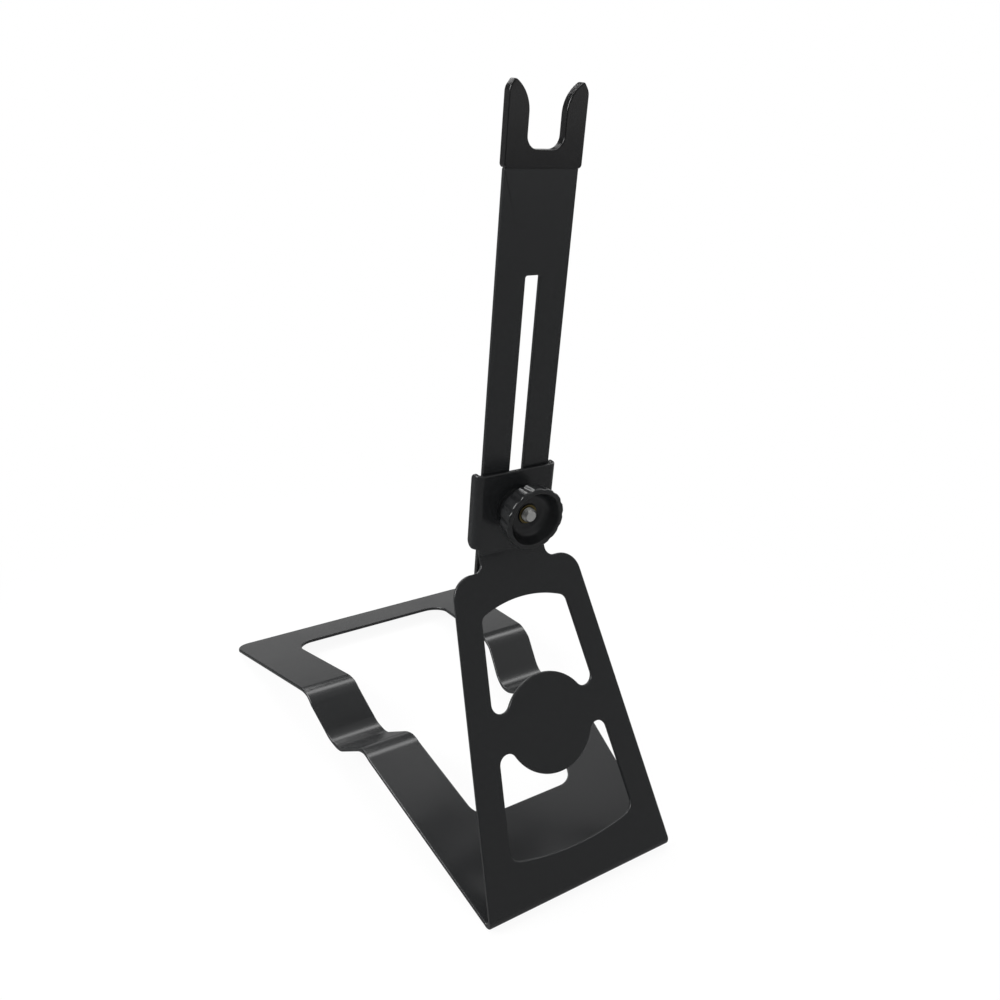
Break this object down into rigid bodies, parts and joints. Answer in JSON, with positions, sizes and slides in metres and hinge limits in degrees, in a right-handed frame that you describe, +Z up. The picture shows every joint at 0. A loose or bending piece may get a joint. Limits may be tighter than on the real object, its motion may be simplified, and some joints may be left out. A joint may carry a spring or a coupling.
{
  "type": "bike display stand",
  "caption": "Folded sheet-steel display stand that holds a bicycle wheel: tyre trough, leaning plate, slotted height post, fork cap and clamp knob.",
  "frame": {"origin": "on the floor, under the middle of the footprint", "axes": "+Z up; the leaning front plate and the knob face -Y; X runs along the wheel trough, and the stand is symmetric about the plane x = 0"},
  "size_m": [0.1948, 0.3032, 0.4045],
  "materials": {
    "powder_coat": "satin black powder coat, fine texture",
    "cap_plastic": "glossy black moulded plastic",
    "knob_plastic": "satin black moulded plastic",
    "zinc_steel": "bright zinc-plated steel",
    "brass": "turned brass"
  },
  "bodies": {
    "frame": {"stand_frame": "powder_coat", "clamp_bolt": "zinc_steel"},
    "post": {"height_post": "powder_coat", "fork_cap": "cap_plastic"},
    "washer": {"knob_washer": "zinc_steel"},
    "knob": {"clamp_knob": "knob_plastic", "knob_insert": "brass"}
  },
  "joints": [
    {"name": "post_slide", "type": "slide", "parent": "frame", "child": "post", "axis": [0, 0, 1], "range_m": [-0.1196, 0.0252]},
    {"name": "knob_travel", "type": "slide", "parent": "frame", "child": "washer", "axis": [0, -1, 0], "range_m": [0, 0.0025]},
    {"name": "knob_turn", "type": "hinge", "parent": "washer", "child": "knob", "pos_m": [0, -0.0566, 0.19352], "axis": [0, -1, 0], "range_deg": [0, 720]}
  ],
  "couplings": [
    {"joint": "knob_turn", "follows": "knob_travel", "rad_per_m": 5026.5}
  ]
}
